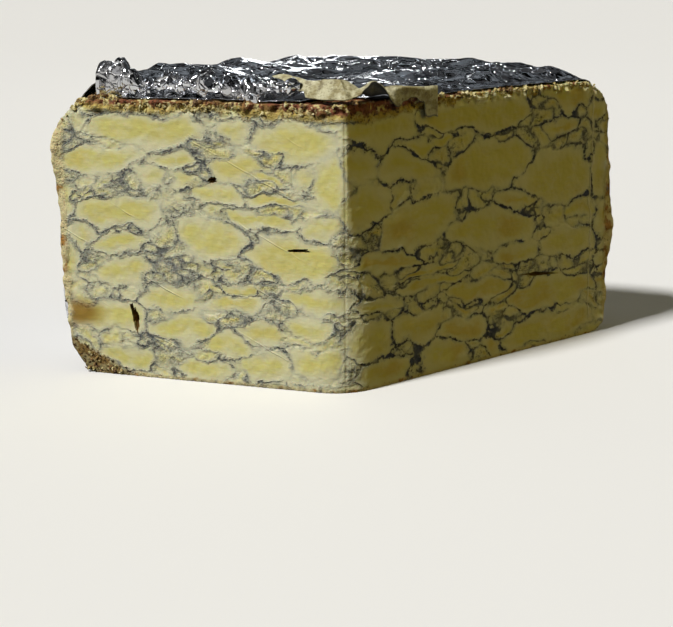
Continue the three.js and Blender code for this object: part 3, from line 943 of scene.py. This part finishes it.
def hem_place(along, across):
    """A sheet rolled up one turn, along the left face from near the front edge to the shoulder."""
    run = HEM_START + HEM_LENGTH * along
    turned = ROLL_START + ROLL_TURN * across
    flat = np.stack([run, across * HEM_WIDTH], axis=1)
    ends = smooth(along, 0, 0.05) * smooth(-along, -1, -0.97)
    standing = smooth(run, STANDING_FROM, STANDING_TO)
    peak = bell(run, PEAK_RUN, PEAK_BREADTH)
    uneven = HEM_RADIUS + 0.7 * np.sin(run / 5.3) + 0.4 * np.sin(run / 2.1 + 1)
    radius = uneven * (0.35 + 0.65 * ends) * (1 - 0.3 * across)
    pleats = folds(flat, 11, 110, (1.2, 3.6), (8, 26), (0.4, 1.2), PLEAT_LEAN)
    pleats += folds(flat, 12, 200, (0.4, 1), (3, 12), (0.12, 0.35), PLEAT_LEAN)
    pleats += folds(flat, 13, 60, (1, 3), (6, 18), (0.2, 0.8))
    radius = np.maximum(radius + pleats * ends, 0.5)
    back = HEM_BACK - radius * np.cos(turned) * (1.1 - 0.25 * standing)
    middle = top + FOIL_CLEARANCE + HEM_LIFT + STANDING_LIFT * standing + peak + 0.5 * np.sin(run / 6)
    height = middle + radius * np.sin(turned) * (1 + 0.6 * standing)
    place = run[:, None] * np.array(left_way) - back[:, None] * np.array(left_out)
    return place + height[:, None] * np.array([0, 0, 1])


hem = mapped_grid("foil_hem", 84, 26, hem_place)
bpy.ops.object.shade_flat()
apply_modifier(hem, "SOLIDIFY", thickness=FOIL_THICKNESS, offset=0)

metal = Finish("crushed_foil")


def facets(size):
    """Flat facets about `size` wide, each tilted its own way and creased round, as height over size."""
    swirl = metal.noise(size * 1.5, 2, output="Color")
    place = metal.vector("MULTIPLY_ADD", swirl, (size * 0.8,) * 3, metal.place)
    cell = {"Vector": place, "Scale": 1 / size}
    centre = metal.node("TexVoronoi", {}, cell, "Position")
    tilt = metal.vector("SUBTRACT", metal.node("TexVoronoi", {}, cell, "Color"), (0.5, 0.5, 0.5))
    edge = metal.node("TexVoronoi", {"feature": "DISTANCE_TO_EDGE"}, cell, "Distance")
    slope = metal.dot(metal.vector("SUBTRACT", place, centre), tilt) * (1 / size)
    return slope - edge.rise(0.09, 0) * 0.09


# The strip of foil in the hollow under the label's arch is painted near-black, dull and not metallic:
# painted shade for the shadow under the arch.
HOLLOW_FROM, HOLLOW_TO = 5 * mm, 19 * mm  # along the right face
HOLLOW_DEPTH = 5 * mm
from_corner = metal.vector("SUBTRACT", metal.place, tuple(TIP))
hollow_run = metal.dot(from_corner, tuple(right_way))
hollow_back = metal.dot(from_corner, tuple(-Vector(right_out)))
hollow_painted_shade = hollow_run.rise(HOLLOW_FROM - mm, HOLLOW_FROM + mm)
hollow_painted_shade = hollow_painted_shade * hollow_run.rise(HOLLOW_TO + mm, HOLLOW_TO - mm)
hollow_painted_shade = hollow_painted_shade * hollow_back.rise(HOLLOW_DEPTH + 0.4 * mm, HOLLOW_DEPTH - 0.4 * mm)

rubbed = metal.noise(9 * mm, 4)
# Silver, a little darker where rubbed, with painted shade near-black in the hollow under the arch.
foil_colour = metal.coats(
    paint(208, 210, 214), (rubbed.rise(0.35, 0.7), paint(190, 190, 192)), (hollow_painted_shade, paint(10, 10, 11))
)
# In the hollow the painted shade is also made rough and not metallic, so that it stays dark.
foil_finish = metal.surface(
    (facets(11 * mm), 4.4 * mm), (facets(3.4 * mm), 1.5 * mm), (metal.noise(1.2 * mm, 3), 0.04 * mm),
    base_color=foil_colour, roughness=rubbed.rise(0.3, 0.75) * 0.1 + 0.1 + hollow_painted_shade * 0.8,
    metallic=1 - hollow_painted_shade,
)
for piece in (foil, hem):
    piece.data.materials.append(foil_finish)
    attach(piece, "root")
    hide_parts("foil_wrap")

# ======== Label strip ========
# What is left of the drum's paper label: a torn strip that leans on the foil left of the front corner,
# arches off the crust right of it and folds down over the edge, where it ends in a torn tab.

LABEL_LEFT, LABEL_RIGHT = 25, 34  # reach along each cut face, and the rest in millimetres too
LABEL_WIDTH = 6.1
LABEL_LIFT = 0.8  # over the foil
LABEL_LEAN = 5  # how much higher its back edge leans than its front one
TURN_START = 8  # left of the corner, from where it turns back over the foil to a tip
TURN_BACK, TURN_LIFT = 10, 5
ARCH_HEIGHT = 4.3
ARCH_RUN, ARCH_BREADTH = 10.5, 4.8
FOLD_START, FOLD_END = 13, 18  # where it bends down over the edge
TAB_NARROWS, TAB_END = 18, 31
TAB_HANGS = 1.3  # below the crust
TORN_START, TORN_END = 28.6, 29.6  # of the step where the tab is torn off
TORN_STEP = 4.3
SINK = 4.4  # of the strip behind the arch, down onto the foil
SINK_RUN, SINK_BREADTH = 11.5, 4.2
LABEL_THICKNESS = 0.3 * mm


def round_corner(run, back):
    """Places along both top edges: run is below 0 left of the front corner and above 0 right of it."""
    share = smooth(run, -5, 5)[:, None]
    inward = -np.array(left_out) * (1 - share) - np.array(right_out) * share
    inward /= np.linalg.norm(inward, axis=1)[:, None]
    way = np.where((run < 0)[:, None], np.array(left_way), np.array(right_way))
    return way * np.abs(run)[:, None] + inward * back[:, None]


def label_place(along, across):
    """Along runs from the tip on the left to the torn tab, across from the crust back over the foil."""
    run = -LABEL_LEFT + (LABEL_LEFT + LABEL_RIGHT) * along
    turned = smooth(-run, TURN_START, LABEL_LEFT)
    folded = smooth(run, FOLD_START, FOLD_END)
    narrowed = 1 - 0.8 * smooth(run, TAB_NARROWS, TAB_END)
    up_edge = np.minimum(across / 0.5, 1)
    over_foil = np.maximum(across / 0.5 - 1, 0)
    width = 1 - 0.9 * np.clip((-run - TURN_START) / (LABEL_LEFT - TURN_START), 0, 1)
    frayed = 0.8 * bumps(np.stack([run, run * 0, run * 0], axis=1), 2.3, 0.7) * (1 - across)
    leaning_back = -0.6 + frayed + LABEL_WIDTH * across * width + TURN_BACK * turned
    back = leaning_back * (1 - folded) + (-1 + 4.4 * over_foil * narrowed) * folded
    place = round_corner(run, back)

    sheet_top = top + FOIL_CLEARANCE + LABEL_LIFT
    arch = ARCH_HEIGHT * bell(run, ARCH_RUN, ARCH_BREADTH) * (1 - across)
    leaning = top + 1.2 + LABEL_LEAN * across * width + TURN_LIFT * turned + arch
    torn = TORN_STEP * smooth(run, TORN_START, TORN_END) + frayed - 1.5 * bell(run, 24, 3)
    hanging = (top - TAB_HANGS - torn) * (1 - up_edge) + (sheet_top + 1.4 * narrowed) * up_edge
    height = leaning * (1 - folded) + hanging * folded
    over = smooth(np.hypot(place[:, 0], place[:, 1]), 6.5, 12) * (1 - folded * (across < 0.5))
    resting = sheet_top + 1.2 - 0.6 * smooth(run, TAB_NARROWS, TAB_END)
    behind_arch = SINK * smooth(across, 0.1, 0.5) * bell(run, SINK_RUN, SINK_BREADTH)
    crinkle = 0.25 * folds(np.stack([run, across * 10], axis=1), 21, 60, (0.6, 2.5), (3, 14), (0.2, 0.9))
    place[:, 2] = np.maximum(height, over * resting) - behind_arch + crinkle
    return place


label = mapped_grid("label_strip", 170, 30, label_place)
apply_modifier(label, "SOLIDIFY", thickness=LABEL_THICKNESS, offset=1)
# Marks the paper's underside, which is painted near-black: painted shade for the shadow under the strip and
# its arch.
store(label, "underside_painted_shade", smooth(-read_points(label, "normal")[:, 2], 0.15, 0.45))

sheet = Finish("torn_label_paper")
fibres = sheet.noise(0.7 * mm, 4, Roughness=0.65)
damp = sheet.noise(4 * mm, 4, Roughness=0.6)
streaks = sheet.noise(1.6 * mm, 3, sheet.squeezed(1, 0.25, 1))
label_colour = sheet.coats(
    paint(192, 187, 152),
    (damp.rise(0.42, 0.6), paint(150, 140, 96)),
    (streaks.rise(0.54, 0.66) * 0.6, paint(110, 98, 64)),
    (fibres.rise(0.52, 0.64) * 0.6, paint(96, 84, 56)),
    (fibres.rise(0.42, 0.34) * 0.5, paint(222, 218, 190)),
    # painted shade on the paper's underside
    (sheet.attribute("underside_painted_shade") * 0.96, paint(20, 18, 14)),
)
label_finish = sheet.surface((fibres, 0.12 * mm), (damp, 0.5 * mm), base_color=label_colour, roughness=0.7)
label.data.materials.append(label_finish)
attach(label, "root")
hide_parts("label_strip")
